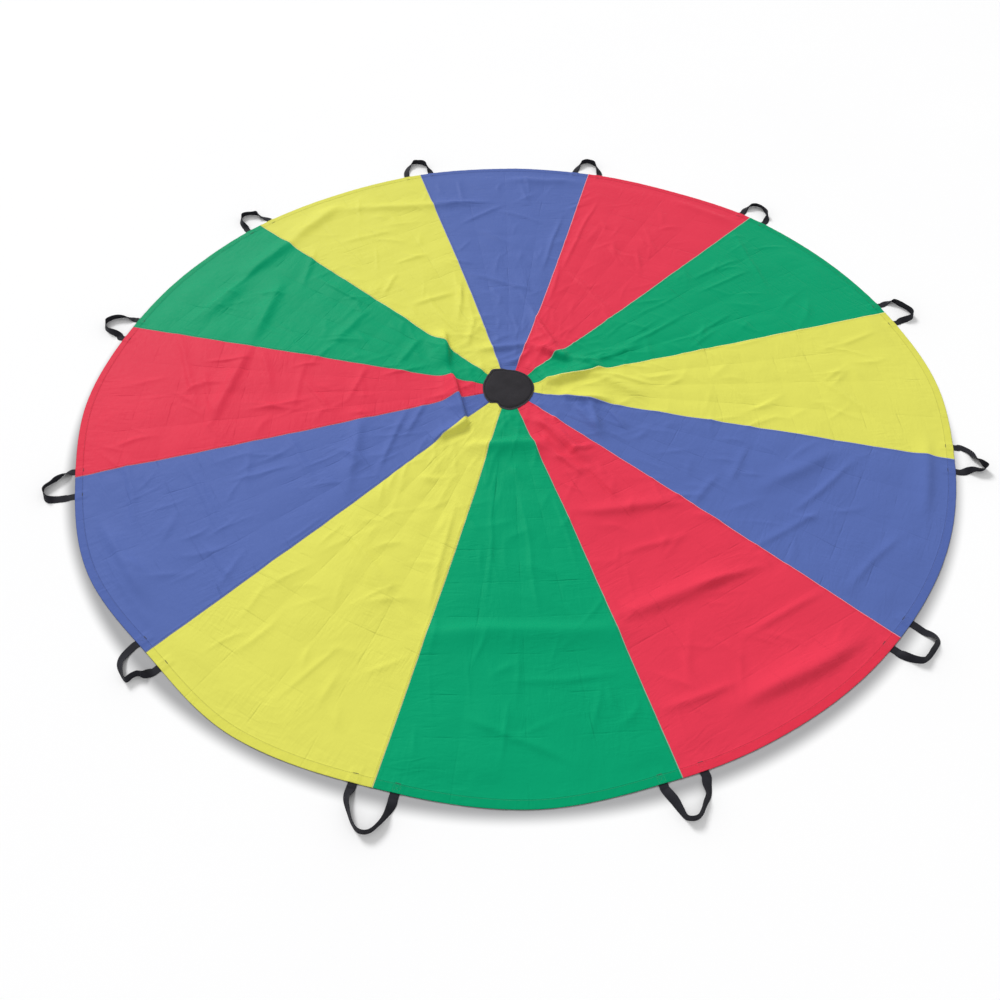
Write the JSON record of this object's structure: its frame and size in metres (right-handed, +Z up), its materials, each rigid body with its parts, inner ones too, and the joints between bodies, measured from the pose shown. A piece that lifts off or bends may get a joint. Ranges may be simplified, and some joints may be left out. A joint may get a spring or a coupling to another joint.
{
  "type": "play parachute",
  "caption": "Round cloth play parachute of coloured gores with a round centre patch and webbing hand loops round its hem, laid out flat.",
  "frame": {"origin": "on the floor at the middle of the canopy's hem circle, on the underside of the under patch", "axes": "+Z up out of the laid canopy, +Y away from the usual viewer, +X to the right"},
  "size_m": [3.1235, 3.1532, 0.0333],
  "materials": {
    "cloth_blue": "woven taffeta, soft sheen",
    "cloth_red": "woven taffeta, soft sheen",
    "cloth_green": "woven taffeta, soft sheen",
    "cloth_yellow": "woven taffeta, soft sheen",
    "webbing": "ribbed black webbing, matt",
    "patch": "black woven cloth, matt"
  },
  "bodies": {
    "canopy": {"gore_01_blue": "cloth_blue", "gore_02_red": "cloth_red", "gore_03_green": "cloth_green", "gore_04_yellow": "cloth_yellow", "gore_05_blue": "cloth_blue", "gore_06_red": "cloth_red", "gore_07_green": "cloth_green", "gore_08_yellow": "cloth_yellow", "gore_09_blue": "cloth_blue", "gore_10_red": "cloth_red", "gore_11_green": "cloth_green", "gore_12_yellow": "cloth_yellow", "patch_under": "patch", "patch_top": "patch", "handle_01_left_end": "webbing", "handle_01_right_end": "webbing", "handle_02_left_end": "webbing", "handle_02_right_end": "webbing", "handle_03_left_end": "webbing", "handle_03_right_end": "webbing", "handle_04_left_end": "webbing", "handle_04_right_end": "webbing", "handle_05_left_end": "webbing", "handle_05_right_end": "webbing", "handle_06_left_end": "webbing", "handle_06_right_end": "webbing", "handle_07_left_end": "webbing", "handle_07_right_end": "webbing", "handle_08_left_end": "webbing", "handle_08_right_end": "webbing", "handle_09_left_end": "webbing", "handle_09_right_end": "webbing", "handle_10_left_end": "webbing", "handle_10_right_end": "webbing", "handle_11_left_end": "webbing", "handle_11_right_end": "webbing", "handle_12_left_end": "webbing", "handle_12_right_end": "webbing"},
    "handle_01": {"handle_01_loop": "webbing"},
    "handle_02": {"handle_02_loop": "webbing"},
    "handle_03": {"handle_03_loop": "webbing"},
    "handle_04": {"handle_04_loop": "webbing"},
    "handle_05": {"handle_05_loop": "webbing"},
    "handle_06": {"handle_06_loop": "webbing"},
    "handle_07": {"handle_07_loop": "webbing"},
    "handle_08": {"handle_08_loop": "webbing"},
    "handle_09": {"handle_09_loop": "webbing"},
    "handle_10": {"handle_10_loop": "webbing"},
    "handle_11": {"handle_11_loop": "webbing"},
    "handle_12": {"handle_12_loop": "webbing"}
  },
  "joints": [
    {"name": "handle_01_fold", "type": "hinge", "parent": "canopy", "child": "handle_01", "pos_m": [-0.40113, 1.47641, 0.00088], "axis": [0.965, 0.2622, 0], "range_deg": [-90, 135]},
    {"name": "handle_02_fold", "type": "hinge", "parent": "canopy", "child": "handle_02", "pos_m": [0.38468, 1.45597, 0.00088], "axis": [0.9668, -0.2554, 0], "range_deg": [-90, 135]},
    {"name": "handle_03_fold", "type": "hinge", "parent": "canopy", "child": "handle_03", "pos_m": [1.06261, 1.07005, 0.00088], "axis": [0.7096, -0.7046, 0], "range_deg": [-90, 135]},
    {"name": "handle_04_fold", "type": "hinge", "parent": "canopy", "child": "handle_04", "pos_m": [1.45325, 0.39484, 0.00088], "axis": [0.2622, -0.965, 0], "range_deg": [-90, 135]},
    {"name": "handle_05_fold", "type": "hinge", "parent": "canopy", "child": "handle_05", "pos_m": [1.45307, -0.38392, 0.00088], "axis": [-0.2554, -0.9668, 0], "range_deg": [-90, 135]},
    {"name": "handle_06_fold", "type": "hinge", "parent": "canopy", "child": "handle_06", "pos_m": [1.06718, -1.05976, 0.00088], "axis": [-0.7046, -0.7096, 0], "range_deg": [-90, 135]},
    {"name": "handle_07_fold", "type": "hinge", "parent": "canopy", "child": "handle_07", "pos_m": [0.39563, -1.45614, 0.00088], "axis": [-0.965, -0.2622, 0], "range_deg": [-90, 135]},
    {"name": "handle_08_fold", "type": "hinge", "parent": "canopy", "child": "handle_08", "pos_m": [-0.38775, -1.46757, 0.00088], "axis": [-0.9668, 0.2554, 0], "range_deg": [-90, 135]},
    {"name": "handle_09_fold", "type": "hinge", "parent": "canopy", "child": "handle_09", "pos_m": [-1.05764, -1.06505, 0.00088], "axis": [-0.7096, 0.7046, 0], "range_deg": [-90, 135]},
    {"name": "handle_10_fold", "type": "hinge", "parent": "canopy", "child": "handle_10", "pos_m": [-1.45614, -0.39563, 0.00088], "axis": [-0.2622, 0.965, 0], "range_deg": [-90, 135]},
    {"name": "handle_11_fold", "type": "hinge", "parent": "canopy", "child": "handle_11", "pos_m": [-1.46568, 0.38725, 0.00088], "axis": [0.2554, 0.9668, 0], "range_deg": [-90, 135]},
    {"name": "handle_12_fold", "type": "hinge", "parent": "canopy", "child": "handle_12", "pos_m": [-1.08559, 1.07804, 0.00088], "axis": [0.7046, 0.7096, 0], "range_deg": [-90, 135]}
  ]
}
